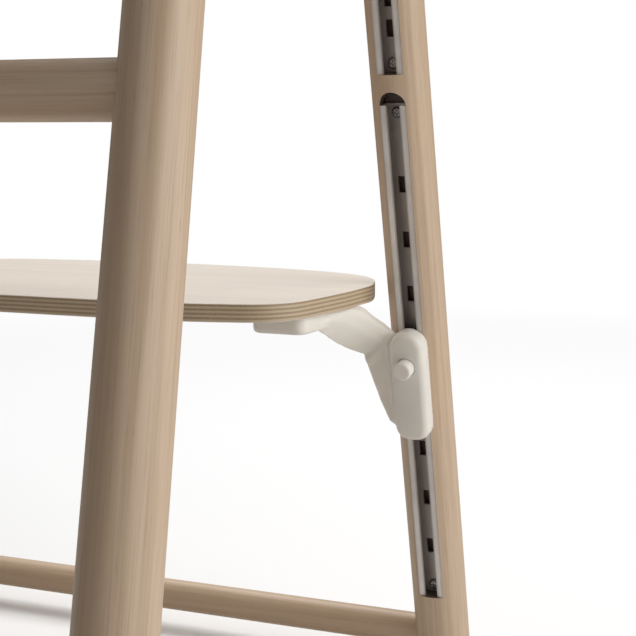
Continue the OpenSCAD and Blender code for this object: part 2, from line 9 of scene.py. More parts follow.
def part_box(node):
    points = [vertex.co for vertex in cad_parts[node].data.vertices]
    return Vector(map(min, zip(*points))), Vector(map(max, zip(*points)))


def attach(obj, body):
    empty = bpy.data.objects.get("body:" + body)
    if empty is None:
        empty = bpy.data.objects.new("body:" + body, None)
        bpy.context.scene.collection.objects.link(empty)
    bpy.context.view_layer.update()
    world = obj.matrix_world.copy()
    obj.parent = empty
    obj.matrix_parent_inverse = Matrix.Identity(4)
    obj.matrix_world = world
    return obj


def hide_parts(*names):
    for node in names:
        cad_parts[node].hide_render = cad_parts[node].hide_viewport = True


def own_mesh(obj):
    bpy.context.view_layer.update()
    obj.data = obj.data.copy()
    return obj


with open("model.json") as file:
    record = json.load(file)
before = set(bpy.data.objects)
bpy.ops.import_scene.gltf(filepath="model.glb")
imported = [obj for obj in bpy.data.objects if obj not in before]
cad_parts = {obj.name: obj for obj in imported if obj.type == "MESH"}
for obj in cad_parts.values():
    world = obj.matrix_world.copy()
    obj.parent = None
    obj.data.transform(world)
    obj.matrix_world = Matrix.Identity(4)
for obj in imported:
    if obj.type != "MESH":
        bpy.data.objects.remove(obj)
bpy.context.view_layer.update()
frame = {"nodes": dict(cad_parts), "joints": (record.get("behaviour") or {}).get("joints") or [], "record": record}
nodes = frame["nodes"]
record = frame["record"]
mm = 0.001
print("frame loaded:", len(nodes), "nodes")

chair = {
    "frontLean": math.radians(12.5),
    "rearLean": math.radians(19.5),
    "rearSplay": math.radians(5.5),
    "legRadius": 18 * mm,
    "glideHeight": 5 * mm,
    "plateThickness": 11 * mm,
    "sideX": 215 * mm,
    "rearX": 257 * mm,
    "footDepth": 525 * mm,
}
frontSlope = math.tan(chair["frontLean"])
rearSlope = math.tan(chair["rearLean"])
splaySlope = math.tan(chair["rearSplay"])
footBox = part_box("front_leg_right")[0]
frontY = footBox.y + chair["legRadius"] / math.cos(chair["frontLean"]) - frontSlope * chair["glideHeight"]
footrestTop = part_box("footrest_plate")[1].z
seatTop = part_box("seat_plate")[1].z
legUp = Vector((0, math.sin(chair["frontLean"]), math.cos(chair["frontLean"])))
legOut = Vector((0, math.cos(chair["frontLean"]), -math.sin(chair["frontLean"])))
rearUp = Vector((splaySlope, -rearSlope, 1)).normalized()


def legAxisAt(height):
    return Vector((-chair["sideX"], frontY + frontSlope * height, height))


def onLeg(x, out, along, height):  # x inboard, out of the leg's rear face, along the leg; in millimetres
    return legAxisAt(height) + Vector((x * mm, 0, 0)) + legOut * (out * mm) + legUp * (along * mm)


view = {
    "place": Vector((-0.5586, 0.7068, 0.3770)),
    "yaw": math.radians(24.367),
    "pitch": math.radians(7.538),
    "roll": math.radians(-0.281),
    "lens": 87.16,
}


def makeCamera():
    data = bpy.data.cameras.new("camera")
    data.lens = view["lens"]
    data.sensor_width = 36
    data.clip_start = 0.01
    yaw, pitch, roll = view["yaw"], view["pitch"], view["roll"]
    right = Vector((-math.cos(yaw), -math.sin(yaw), 0))
    ahead = Vector((math.sin(yaw) * math.cos(pitch), -math.cos(yaw) * math.cos(pitch), -math.sin(pitch)))
    up = right.cross(ahead)
    turnedRight = right * math.cos(roll) + up * math.sin(roll)
    turnedUp = up * math.cos(roll) - right * math.sin(roll)
    camera = bpy.data.objects.new("camera", data)
    bpy.context.scene.collection.objects.link(camera)
    camera.matrix_world = Matrix.Translation(view["place"]) @ Matrix(
        (turnedRight, turnedUp, -ahead)).transposed().to_4x4()
    bpy.context.scene.camera = camera


makeCamera()
bpy.context.scene.view_settings.view_transform = "Standard"


def linked(name, mesh):
    made = bpy.data.objects.new(name, mesh)
    bpy.context.scene.collection.objects.link(made)
    return made


def fromData(name, points, faces):
    mesh = bpy.data.meshes.new(name)
    mesh.from_pydata([tuple(p) for p in points], [], faces)
    mesh.validate()
    return linked(name, mesh)


def skinned(name, points, count):  # closed skin over rings of equal count, with both ends capped
    faces = [(k + i, k + (i + 1) % count, k + count + (i + 1) % count, k + count + i)
             for k in range(0, len(points) - count, count) for i in range(count)]
    faces.append(tuple(reversed(range(count))))
    faces.append(tuple(range(len(points) - count, len(points))))
    return fromData(name, points, faces)


def fromBmesh(name, bm):
    mesh = bpy.data.meshes.new(name)
    bm.to_mesh(mesh)
    bm.free()
    return linked(name, mesh)


def bake(piece):  # turns modifiers into plain mesh
    graph = bpy.context.evaluated_depsgraph_get()
    mesh = bpy.data.meshes.new_from_object(piece.evaluated_get(graph))
    piece.modifiers.clear()
    old = piece.data
    piece.data = mesh
    mesh.name = piece.name
    bpy.data.meshes.remove(old)
    return piece


def drop(piece):
    mesh = piece.data
    bpy.data.objects.remove(piece)
    bpy.data.meshes.remove(mesh)


def smooth(piece, angle=32):  # smooth shading with creases kept sharp
    bm = bmesh.new()
    bm.from_mesh(piece.data)
    bmesh.ops.remove_doubles(bm, verts=bm.verts, dist=1e-6)
    bmesh.ops.recalc_face_normals(bm, faces=bm.faces)
    limit = math.radians(angle)
    for face in bm.faces:
        face.smooth = True
    for edge in bm.edges:
        edge.smooth = len(edge.link_faces) != 2 or edge.calc_face_angle(0) < limit
    bm.to_mesh(piece.data)
    bm.free()
    return piece


def cut(piece, tool, how="DIFFERENCE"):
    step = piece.modifiers.new("cut", "BOOLEAN")
    step.operation = how
    step.solver = "EXACT"
    step.object = tool
    bake(piece)
    drop(tool)
    return piece


def rounded(piece, width, segments, angle):
    step = piece.modifiers.new("rounded", "BEVEL")
    step.width = width
    step.segments = segments
    step.limit_method = "ANGLE"
    step.angle_limit = math.radians(angle)
    return bake(piece)


def blendShape(piece, voxel, passes):  # one skin over joined solids, corners softened as in a casting
    step = piece.modifiers.new("skin", "REMESH")
    step.mode = "VOXEL"
    step.voxel_size = voxel
    soft = piece.modifiers.new("soft", "SMOOTH")
    soft.factor = 0.5
    soft.iterations = passes
    return bake(piece)


def copied(piece, name, offset=Vector((0, 0, 0)), flip=False):
    twin = linked(name, piece.data.copy())
    twin.data.name = name
    twin.data.transform(Matrix.Translation(offset))
    if flip:
        twin.data.transform(Matrix.Diagonal((-1, 1, 1, 1)))
        twin.data.flip_normals()
    return twin


def hullOf(bm, points):
    made = [bm.verts.new(p) for p in points]
    result = bmesh.ops.convex_hull(bm, input=made)
    bmesh.ops.delete(bm, geom=list({v for v in result["geom_interior"] if isinstance(v, bmesh.types.BMVert)}),
                     context="VERTS")


def hulled(name, points):
    bm = bmesh.new()
    hullOf(bm, points)
    return fromBmesh(name, bm)


def ring(centre, axis, radius, count=28):
    spin = Vector((0, 0, 1)).rotation_difference(axis)
    return [centre + spin @ Vector((radius * math.cos(2 * math.pi * i / count),
                                    radius * math.sin(2 * math.pi * i / count), 0)) for i in range(count)]


def rod(name, start, end, radius, count=64):
    axis = (end - start).normalized()
    return skinned(name, ring(start, axis, radius, count) + ring(end, axis, radius, count), count)


def lathe(name, profile, centre, axis, count=64):  # profile of (radius, height along the axis)
    points = [p for radius, height in profile for p in ring(centre + axis * height, axis, radius, count)]
    return skinned(name, points, count)


def quarter(radius, steps=5):  # (inset, rise) round a quarter circle
    return [(radius * (1 - math.sin(math.pi / 2 * i / steps)), radius * (1 - math.cos(math.pi / 2 * i / steps)))
            for i in range(steps + 1)]


def sweep(name, path, radius, count=40):
    points, side = [], None
    for i, p in enumerate(path):
        ahead = (path[min(i + 1, len(path) - 1)] - path[max(i - 1, 0)]).normalized()
        if side is None:
            side = ahead.orthogonal().normalized()
        side = (side - ahead * side.dot(ahead)).normalized()
        other = ahead.cross(side)
        for k in range(count):
            turn = 2 * math.pi * k / count
            points.append(p + (side * math.cos(turn) + other * math.sin(turn)) * radius)
    return skinned(name, points, count)


def srgb(r, g, b):
    def linear(c):
        c = c / 255
        return c / 12.92 if c <= 0.04045 else ((c + 0.055) / 1.055) ** 2.4
    return (linear(r), linear(g), linear(b), 1)


def feed(tree, made, values):  # the inputs of a node, joined to a socket or set to a value
    for key, value in values.items():
        if isinstance(value, bpy.types.NodeSocket):
            tree.links.new(value, made.inputs[key])
        else:
            made.inputs[key].default_value = value
    return made


def node(tree, kind, values=None, **settings):
    made = tree.nodes.new(kind)
    for key, value in settings.items():
        setattr(made, key, value)
    return feed(tree, made, values or {})


class Shading:  # shorthand for a material's nodes
    def __init__(self, name):
        self.material = bpy.data.materials.new(name)
        self.material.use_nodes = True
        self.tree = self.material.node_tree
        self.shader = self.tree.nodes["Principled BSDF"]

    def add(self, kind, values=None, **settings):
        return node(self.tree, kind, values, **settings)

    def surface(self, **values):
        feed(self.tree, self.shader, {key.replace("_", " "): value for key, value in values.items()})

    def places(self, grain=None, scale=(1, 1, 1)):  # turned so that Z runs with the grain, then scaled
        vector = self.add("ShaderNodeTexCoord").outputs["Object"]
        steps = [("Scale", scale)]
        if grain is not None:
            steps.insert(0, ("Rotation", grain.rotation_difference(Vector((0, 0, 1))).to_euler("XYZ")))
        for key, value in steps:
            vector = self.add("ShaderNodeMapping", {"Vector": vector, key: value}).outputs["Vector"]
        return vector

    def axes(self):
        place = self.add("ShaderNodeTexCoord").outputs["Object"]
        return self.add("ShaderNodeSeparateXYZ", {"Vector": place}).outputs

    def noise(self, vector, scale, detail=3, roughness=0.5, distortion=0.0):
        values = {"Vector": vector, "Scale": scale, "Detail": detail, "Roughness": roughness,
                  "Distortion": distortion}
        return self.add("ShaderNodeTexNoise", values).outputs["Fac"]

    def grained(self, grain, size, detail=3, roughness=0.5):  # noise drawn out along the grain
        scale, stretch = size
        return self.noise(self.places(grain, (1, 1, stretch)), scale, detail, roughness)

    def ramp(self, value, stops):
        made = self.add("ShaderNodeValToRGB", {"Fac": value})
        elements = made.color_ramp.elements
        while len(elements) < len(stops):
            elements.new(0.5)
        for element, (place, colour) in zip(elements, stops):
            element.position = place
            element.color = colour
        return made.outputs["Color"]

    def level(self, value, low, high, fromLow=0.0, fromHigh=1.0):
        values = {"Value": value, "From Min": fromLow, "From Max": fromHigh, "To Min": low, "To Max": high}
        return self.add("ShaderNodeMapRange", values).outputs["Result"]

    def maths(self, how, a, b):
        return self.add("ShaderNodeMath", {0: a, 1: b}, operation=how).outputs["Value"]

    def blend(self, factor, a, b):
        return self.add("ShaderNodeMix", {"Factor": factor, 6: a, 7: b}, data_type="RGBA").outputs[2]

    def bump(self, height, strength, distance):
        values = {"Height": height, "Strength": strength, "Distance": distance}
        self.surface(Normal=self.add("ShaderNodeBump", values).outputs["Normal"])


beech = {
    "pale": srgb(206, 182, 156),
    "warm": srgb(188, 161, 133),
    "dark": srgb(150, 122, 95),
    # painted shade for the inside of the front legs' grooves
    "paintedGrooveShade": srgb(98, 84, 76),
    "broad": (50, 0.02),  # grain patterns: scale, and stretch along the grain
    "bands": (230, 0.012),
    "fibres": (1300, 0.016),
    "flecks": (1500, 0.06),
    "roughness": 0.44,
}


def outOfLeg(s, axes):  # distance out of a front leg's rear face, and radius from its axis
    lean = chair["frontLean"]
    out = s.maths("SUBTRACT", s.maths("MULTIPLY", s.maths("SUBTRACT", axes["Y"], frontY), math.cos(lean)),
                  s.maths("MULTIPLY", axes["Z"], math.sin(lean)))
    aside = s.maths("SUBTRACT", s.maths("ABSOLUTE", axes["X"], 0.0), chair["sideX"])
    squares = s.maths("ADD", s.maths("MULTIPLY", out, out), s.maths("MULTIPLY", aside, aside))
    return out, s.maths("POWER", squares, 0.5)


def makeBeech(name, grain, grooved=False):
    s = Shading(name)
    broad = s.grained(grain, beech["broad"], 2, 0.45)
    bands = s.grained(grain, beech["bands"], 4, 0.6)
    fibres = s.grained(grain, beech["fibres"], 3, 0.6)
    flecks = s.grained(grain, beech["flecks"], 0, 0.3)
    base = s.ramp(broad, [(0.32, beech["warm"]), (0.52, beech["pale"]), (0.72, beech["warm"])])
    base = s.blend(s.level(bands, 0.0, 0.75, 0.46, 0.66), base, beech["warm"])
    base = s.blend(s.level(fibres, 0.0, 0.4, 0.5, 0.8), base, beech["dark"])
    base = s.blend(s.level(flecks, 0.0, 0.25, 0.74, 0.84), base, beech["dark"])
    # painted shade: inside the groove's recess the wood is darkened
    if grooved:
        radius = outOfLeg(s, s.axes())[1]
        inside = s.level(radius, 1.0, 0.0, chair["legRadius"] - 0.8 * mm, chair["legRadius"] - 0.4 * mm)
        base = s.blend(inside, base, beech["paintedGrooveShade"])
    s.surface(Base_Color=base, Specular_IOR_Level=0.4, Coat_Weight=0.1, Coat_Roughness=0.4,
              Roughness=s.level(fibres, beech["roughness"] - 0.06, beech["roughness"] + 0.1, 0.3, 0.7))
    s.bump(fibres, 0.14, 0.0001)
    return s.material


plywood = {
    "face": srgb(230, 220, 208),
    "faceWarm": srgb(223, 211, 197),
    "faceDark": srgb(204, 188, 169),
    "plyLight": srgb(196, 176, 147),
    "plyDark": srgb(157, 134, 104),
    "faceVeneer": 1.15,
    "plies": 9,
    "thickness": 11.0,
}


def makePlywood(name):
    s = Shading(name)
    ply = s.add("ShaderNodeAttribute", attribute_name="ply", attribute_type="GEOMETRY").outputs["Fac"]
    broad = s.noise(s.places(scale=(0.05, 1, 1)), 24, detail=4, roughness=0.5, distortion=0.7)
    fibres = s.noise(s.places(scale=(0.02, 1, 1)), 1100, detail=3, roughness=0.6)
    face = s.ramp(broad, [(0.3, plywood["faceWarm"]), (0.5, plywood["face"]), (0.72, plywood["faceWarm"])])
    face = s.blend(s.level(fibres, 0.0, 0.3, 0.5, 0.8), face, plywood["faceDark"])
    step = (plywood["thickness"] - 2 * plywood["faceVeneer"]) / (plywood["plies"] - 2)
    wobble = s.level(s.noise(s.places(scale=(1, 1, 0.2)), 18, detail=2), -0.2, 0.2)
    place = s.maths("ADD", ply, wobble)
    turns = s.maths("PINGPONG", s.maths("DIVIDE", s.maths("SUBTRACT", place, plywood["faceVeneer"]), step), 1.0)
    rough = s.noise(s.places(scale=(1, 1, 3)), 700, detail=3, roughness=0.7)
    edge = s.blend(s.level(turns, 0.0, 1.0, 0.36, 0.7), plywood["plyLight"], plywood["plyDark"])
    edge = s.blend(s.level(rough, 0.0, 0.4, 0.45, 0.75), edge, plywood["faceDark"])
    middle = s.maths("ABSOLUTE", s.maths("SUBTRACT", place, plywood["thickness"] / 2), 0.0)
    border = plywood["thickness"] / 2 - plywood["faceVeneer"]
    s.surface(Base_Color=s.blend(s.level(middle, 0.0, 1.0, border + 0.5, border + 0.75), edge, face),
              Roughness=s.level(fibres, 0.44, 0.58, 0.3, 0.7), Specular_IOR_Level=0.4,
              Coat_Weight=0.08, Coat_Roughness=0.4)
    s.bump(fibres, 0.1, 0.0001)
    return s.material


def makeMoulding(name, colour, roughness=0.38, grain=0.05):
    s = Shading(name)
    cloud = s.noise(s.places(), 35, detail=4)
    pores = s.noise(s.places(), 2600, detail=2)
    darker = tuple(c * 0.93 for c in colour[:3]) + (1,)
    s.surface(Base_Color=s.blend(s.level(cloud, 0.0, 0.6, 0.35, 0.7), colour, darker),
              Roughness=s.level(pores, roughness - 0.04, roughness + 0.06), Specular_IOR_Level=0.45,
              Subsurface_Weight=0.25, Subsurface_Scale=0.006, Subsurface_Radius=(1.0, 0.85, 0.7))
    s.bump(pores, grain, 0.00008)
    return s.material


metal = {
    "zinc": (0.55, 0.55, 0.53, 1),
    "darkZinc": (0.24, 0.22, 0.21, 1),
    "brushing": (3500, 0.01),
    "brushDepth": 0.12,
}


def makeMetal(name, roughness, axis=Vector((0, 1, 0))):
    s = Shading(name)
    lines = s.grained(axis, metal["brushing"], 2)
    cloud = s.noise(s.places(), 60, detail=3)
    paler = tuple(min(1, c * 1.12) for c in metal[name][:3]) + (1,)
    s.surface(Base_Color=s.blend(cloud, metal[name], paler), Metallic=1.0,
              Roughness=s.level(lines, roughness - 0.06, roughness + 0.1))
    s.bump(lines, metal["brushDepth"], 0.00005)
    return s.material


rail = {
    "lip": (0.78, 0.745, 0.71, 1),
    # painted shade for the inside of the channel, below the lips; lipFrom and lipTo give where it ends, by
    # distance out of the leg
    "inside": (0.46, 0.41, 0.38, 1),
    "lipFrom": 13.9 * mm,
    "lipTo": 14.3 * mm,
    # painted shade for the lips' inner and outer edges, over the bands across the rail given below
    "lipPaintedShade": (0.47, 0.44, 0.415, 1),
    "lipInner": (4.5 * mm, 5.3 * mm),
    "lipOuter": (7.3 * mm, 8.3 * mm),
    "brushing": (3000, 0.008),
    "roughness": 0.34,
}


def makeRailMetal(name):  # drawn profile: pale brushed lips, with painted shade inside the channel and along the lips' edges
    s = Shading(name)
    lines = s.grained(legUp, rail["brushing"])
    cloud = s.noise(s.places(), 45, detail=3)
    axes = s.axes()
    out = outOfLeg(s, axes)[0]
    aside = s.maths("ABSOLUTE", s.maths("SUBTRACT", s.maths("ABSOLUTE", axes["X"], 0.0), chair["sideX"]), 0.0)
    # painted shade: the lips' edges darkened, then the channel below the lips darkened
    lip = s.blend(s.level(aside, 1.0, 0.0, *rail["lipInner"]), rail["lip"], rail["lipPaintedShade"])
    lip = s.blend(s.level(aside, 0.0, 0.7, *rail["lipOuter"]), lip, rail["lipPaintedShade"])
    tone = s.blend(s.level(out, 0.0, 1.0, rail["lipFrom"], rail["lipTo"]), rail["inside"], lip)
    tone = s.blend(s.level(cloud, 0.0, 0.22, 0.35, 0.7), tone, beech["dark"])
    s.surface(Base_Color=tone, Metallic=0.4,
              Roughness=s.level(lines, rail["roughness"] - 0.07, rail["roughness"] + 0.14, 0.3, 0.7))
    s.bump(lines, 0.15, 0.00005)
    return s.material


materials = {
    "beechFront": makeBeech("beechFront", legUp, grooved=True),
    "beechRearRight": makeBeech("beechRearRight", rearUp),
    "beechRearLeft": makeBeech("beechRearLeft", Vector((-rearUp.x, rearUp.y, rearUp.z))),
    "beechAcross": makeBeech("beechAcross", Vector((1, 0, 0))),
    "plywood": makePlywood("plywood"),
    "moulding": makeMoulding("moulding", srgb(238, 232, 222)),
    "button": makeMoulding("button", srgb(238, 232, 223), roughness=0.36),
    "aluminium": makeRailMetal("aluminium"),
    "zinc": makeMetal("zinc", 0.3),
    "darkZinc": makeMetal("darkZinc", 0.2),
    "nylon": makeMoulding("nylon", srgb(52, 50, 49), roughness=0.5),
    "felt": makeMoulding("felt", srgb(150, 146, 138), roughness=0.8, grain=0.5),
}
print("materials:", len(materials))

finishes = {"beech": "beechAcross", "plywood": "plywood", "moulding": "moulding", "aluminium": "aluminium",
            "steel": "zinc", "nylon": "nylon", "felt": "felt"}


def dress(piece, material):
    piece.data.materials.clear()
    piece.data.materials.append(materials[material])
    return piece


def ready(piece, body, slot, material, *replaced):
    dress(piece, material)
    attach(piece, body)
    if replaced:
        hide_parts(*replaced)
    return piece


for part in record["subparts"]:
    dress(nodes[part["node"]], finishes[part["material_slot"]])
for legNode, material in (("front_leg_left", "beechFront"), ("front_leg_right", "beechFront"),
                          ("rear_leg_left", "beechRearLeft"), ("rear_leg_right", "beechRearRight")):
    dress(nodes[legNode], material)


plate = {
    "footrest": (67 * mm, 146 * mm),  # how far the board reaches before and behind the leg's axis
    "seat": (56 * mm, 180 * mm),
    "halfWidth": 191 * mm,
    "rearCorner": 34 * mm,
    "frontCorner": 56 * mm,
    "rearBow": 4.4 * mm,
    "frontBow": 12 * mm,
    "arris": 1.3 * mm,
    "rim": 22 * mm,
    "points": 420,
    "softening": 10,
}


def plateOutline(front, rear):  # y from the leg axis; the same circles and bows as the CAD plate
    half, steps = plate["halfWidth"], 8
    marks = []

    def circle(x, y, r):
        marks.extend((x + r * math.cos(2 * math.pi * i / 96), y + r * math.sin(2 * math.pi * i / 96))
                     for i in range(96))

    for i in range(steps + 1):
        u = i / steps
        for side in (-1, 1):
            marks.append((side * u * (half - 61 * mm), rear - plate["rearBow"] * u ** 3))
            marks.append((side * u * (half - 68 * mm), -front + plate["frontBow"] * u ** 2))
    for side in (-1, 1):
        circle(side * (half - plate["rearCorner"] - 5 * mm), rear - plate["rearCorner"] - 11 * mm,
               plate["rearCorner"])
        circle(side * (half - plate["frontCorner"] - 5 * mm), plate["frontCorner"] - front + 19 * mm,
               plate["frontCorner"])
        marks.append((side * half, 79 * mm - front))
        marks.append((side * half, rear - 91 * mm))
    marks = sorted(set(marks))

    def chain(points):
        out = []
        for p in points:
            while len(out) > 1 and ((out[-1][0] - out[-2][0]) * (p[1] - out[-2][1])
                                    - (out[-1][1] - out[-2][1]) * (p[0] - out[-2][0])) <= 0:
                out.pop()
            out.append(p)
        return out

    loop = [Vector(p) for p in chain(marks)[:-1] + chain(marks[::-1])[:-1]]
    lengths = [0]
    for a, b in zip(loop, loop[1:] + loop[:1]):
        lengths.append(lengths[-1] + (b - a).length)
    even, k = [], 0
    for i in range(plate["points"]):
        target = lengths[-1] * i / plate["points"]
        while lengths[k + 1] < target:
            k += 1
        share = (target - lengths[k]) / (lengths[k + 1] - lengths[k])
        even.append(loop[k].lerp(loop[(k + 1) % len(loop)], share))
    for _ in range(plate["softening"]):
        even = [(even[i - 1] + even[i] * 2 + even[(i + 1) % len(even)]) / 4 for i in range(len(even))]
    return even


def makePlate(name, height, front, rear):
    outline = plateOutline(front, rear)
    count = len(outline)
    centreY = frontY + frontSlope * height
    thick, arris = chair["plateThickness"], plate["arris"]
    layers = [(inset, rise) for inset, rise in quarter(arris)]
    layers += [(inset, thick - rise) for inset, rise in reversed(quarter(arris))]
    layers = [(plate["rim"], 0)] + layers + [(plate["rim"], thick)]
    points = []
    for inset, rise in layers:
        for i in range(count):
            run = (outline[(i + 1) % count] - outline[i - 1]).normalized()
            inward = Vector((-run.y, run.x))
            p = outline[i] + inward * inset
            points.append((p.x, centreY + p.y, height - thick + rise))
    piece = smooth(skinned(name, points, count), 40)
    depth = piece.data.attributes.new("ply", "FLOAT", "POINT")
    for vert in piece.data.vertices:
        depth.data[vert.index].value = (vert.co.z - height + thick) / mm
    return piece


for board, height in (("footrest", footrestTop), ("seat", seatTop)):
    front, rear = plate[board]
    ready(makePlate(f"{board}_board", height, front, rear), board, "plywood", "plywood", f"{board}_plate")
print("plates made")

slider = {
    "width": 23.0,
    "top": -23.5,
    "bottom": -97.0,
    "baseOut": 16.1,
    "baseThickness": 3.0,
    "coverThickness": 9.8,
    "buttonDrop": 46.0,
    "buttonDiameter": 11.8,
    "buttonOut": 7.8,
    "buttonEdge": 1.5,
    "gap": 0.35,
    "wall": 0.42,  # of the cover's thickness, as is the shoulder
    "shoulder": 0.53,
    "crownInset": 0.97,
    "roundInset": 4.6,
    "roundTurn": math.radians(82),
    "squareEnd": 2.6,
    "windowWidth": 8.4,
    "windowFrom": -81.3,
    "windowTo": -41.5,
    "hollowWidth": 18.2,
    "hollowFrom": -83.3,
    "hollowTo": -36.9,
    "hollowHeight": 7.4,
    "nubFoot": 23.25,
    "nubDiameter": 5.0,
    "flangeFoot": 24.2,
    "flangeThickness": 1.5,
    "flangeWider": 1.2,
}
bracket = {
    "outerX": 32.0,
    "innerX": 68.0,
    "rearY": 100.0,
    "frontY": 28.0,
    "flange": 11.0,
    "corner": 7.0,
    "armThickness": 6.0,
    "ridge": 2.4,
    "voxel": 0.9 * mm,
    "softening": 8,
    "armTop": [(12, 14, -29.5), (17.5, 22, -23), (22.5, 32, -15.5), (27, 45, -12.5), (31, 66, -12.5)],
    "armLow": [(30.5, 10, -46), (36, 25, -40.5), (38, 43, -33.5), (37, 60, -27), (36, 78, -20.5)],
    "outward": (-0.54, 0.46, -0.71),
    "ridgeLine": [(0.0, 0.0), (0.12, 0.6), (0.36, 1.0), (0.7, 0.55), (1.0, 0.0)],
    "root": [(11.5, -29, 3.2), (27.5, -46, 3.2)],  # inboard, along the leg, radius
    "rootOut": 3.4,
    "ribOut": 4.0,
    "web": [(29.5, -45, 3.4), (10, -30, 4.4), (10, -90, 4.4), (16.5, -86, 3.4), (21.5, -73, 3.2)],
    "webCorner": 2,
    "rib": [(13.6, -34, 3.4), (13.2, -60, 3.4), (11.4, -85, 2.4)],
}


def underPlate(x, y, z, height):  # millimetres from the leg axis at the plate's top
    return legAxisAt(height) + Vector((x, y, z)) * mm


def sliderLoop(radius, out, height):  # round at the top, squarer at the foot; inset by a smaller radius
    half = slider["width"] / 2
    loop = []
    for i in range(29):
        turn = math.pi * i / 28
        loop.append(onLeg(radius * math.cos(turn), out, slider["top"] - half + radius * math.sin(turn), height))
    for i in range(29):
        turn = math.pi + math.pi * i / 28
        across, down = math.cos(turn), -math.sin(turn)
        power = 2 / slider["squareEnd"]
        across = math.copysign(abs(across) ** power, across)
        loop.append(onLeg(radius * across, out, slider["bottom"] + half - radius * max(0, down) ** power, height))
    return loop


def threaded(marks, steps):  # a smooth line through the marks
    marks = [Vector(m) for m in marks]
    padded = [marks[0] * 2 - marks[1]] + marks + [marks[-1] * 2 - marks[-2]]
    line = []
    for a, b, c, d in zip(padded, padded[1:], padded[2:], padded[3:]):
        for i in range(steps):
            t = i / steps
            line.append((b * 2 + (c - a) * t + (a * 2 - b * 5 + c * 4 - d) * t ** 2
                         + (b * 3 - a - c * 3 + d) * t ** 3) / 2)
    return line + [marks[-1]]


def ball(centre, radius):
    marks = []
    for i in range(5):
        tilt = math.pi * (i / 4 - 0.5)
        for k in range(12):
            turn = 2 * math.pi * k / 12
            marks.append(centre + Vector((math.cos(tilt) * math.cos(turn), math.cos(tilt) * math.sin(turn),
                                          math.sin(tilt))) * (radius * mm))
    return marks


def armSection(top, low, height):  # a ridged strip between the arm's two edges, thick away from the ridge
    outward = Vector(bracket["outward"])
    marks = []
    for share, lift in bracket["ridgeLine"]:
        edge = top.lerp(low, share)
        for depth in (-lift * bracket["ridge"], bracket["armThickness"]):
            p = edge - outward * depth
            marks.append(underPlate(p.x, p.y, min(p.z, -11.2), height))
    return marks


def makeBracket(name, height):
    bm = bmesh.new()
    out, low, corner = slider["baseOut"], -11.0 - bracket["flange"], bracket["corner"]
    flange = []
    for x in (bracket["outerX"] + corner, bracket["innerX"] - corner):
        for y in (bracket["frontY"] + corner, bracket["rearY"] - corner):
            for z, r in ((-11.0, corner), (low + 2, corner), (low + 0.6, corner - 0.8), (low, corner - 2.2)):
                flange += ring(underPlate(x, y, z, height), Vector((0, 0, 1)), r * mm, 32)
    hullOf(bm, flange)
    sections = [armSection(top, edge, height)
                for top, edge in zip(threaded(bracket["armTop"], 6), threaded(bracket["armLow"], 6))]
    for first, second in zip(sections, sections[1:]):
        hullOf(bm, first + second)
    root = [p for x, along, r in bracket["root"]
            for p in ball(onLeg(x, out + bracket["rootOut"], along, height), r)]
    hullOf(bm, root + sections[0])
    hullOf(bm, [p for x, along, top in bracket["web"] for o in (out + 0.1, out + top)
                for p in ring(onLeg(x, o, along, height), legOut, bracket["webCorner"] * mm, 16)])
    hullOf(bm, [p for x, along, r in bracket["rib"]
                for p in ball(onLeg(x, out + bracket["ribOut"], along, height), r)])
    hullOf(bm, [p for o in (out, out + slider["baseThickness"])
                for p in sliderLoop(slider["width"] / 2, o, height)])
    piece = blendShape(fromBmesh(name, bm), bracket["voxel"], bracket["softening"])
    half = slider["windowWidth"] / 2
    window = hulled("window", [onLeg(x, o, along, height) for x in (-half, half) for o in (out - 3, out + 6)
                               for along in (slider["windowFrom"], slider["windowTo"])])
    return smooth(cut(piece, window), 60)


def makeCover(name, height):
    base = slider["baseOut"] + slider["baseThickness"]
    full = slider["coverThickness"]
    half = slider["width"] / 2
    inset, last = slider["roundInset"], slider["roundTurn"]
    profile = [(0.0, 0.0), (0.0, full * slider["wall"])]
    for i in range(1, 13):
        turn = last * i / 12
        rise = slider["wall"] + slider["shoulder"] * math.sin(turn)
        profile.append((inset * (1 - math.cos(turn)), full * rise))
    edge, rim = profile[-1]
    for i in range(1, 6):
        share = i / 5
        crown = 1 - (1 - share) ** 2
        profile.append((edge + (half * slider["crownInset"] - edge) * share, rim + (full - rim) * crown))
    points = [p for inset, rise in profile for p in sliderLoop(half - inset, base + rise, height)]
    piece = smooth(skinned(name, points, len(points) // len(profile)), 50)
    radius = slider["hollowWidth"] / 2
    hollow = hulled("hollow", [p for o in (base - 1, base + slider["hollowHeight"])
                               for along in (slider["hollowFrom"] + radius, slider["hollowTo"] - radius)
                               for p in ring(onLeg(0, o, along, height), legOut, radius * mm, 40)])
    cut(piece, hollow)
    drill = [onLeg(0, base + o, -slider["buttonDrop"], height) for o in (1, 30)]
    cut(piece, rod("drill", *drill, (slider["buttonDiameter"] / 2 + slider["gap"]) * mm))
    return smooth(piece, 38)


def makeButton(name, height):
    r = slider["buttonDiameter"] / 2 * mm
    head = sum(slider[key] for key in ("baseOut", "baseThickness", "coverThickness", "buttonOut")) * mm
    nub, foot, flange = slider["nubFoot"] * mm, slider["flangeFoot"] * mm, slider["flangeThickness"] * mm
    edge, wide = slider["buttonEdge"] * mm, r + slider["flangeWider"] * mm
    profile = [(slider["nubDiameter"] / 2 * mm, nub), (slider["nubDiameter"] / 2 * mm, foot), (wide, foot),
               (wide, foot + flange), (r, foot + flange), (r, head - edge)]
    profile += [(r - inset, head - rise) for inset, rise in reversed(quarter(edge, 6)[:-1])]
    profile.append((r * 0.35, head - 0.25 * mm))
    centre = onLeg(0, 0, -slider["buttonDrop"], height)
    return smooth(lathe(name, profile, centre, legOut, 72), 40)


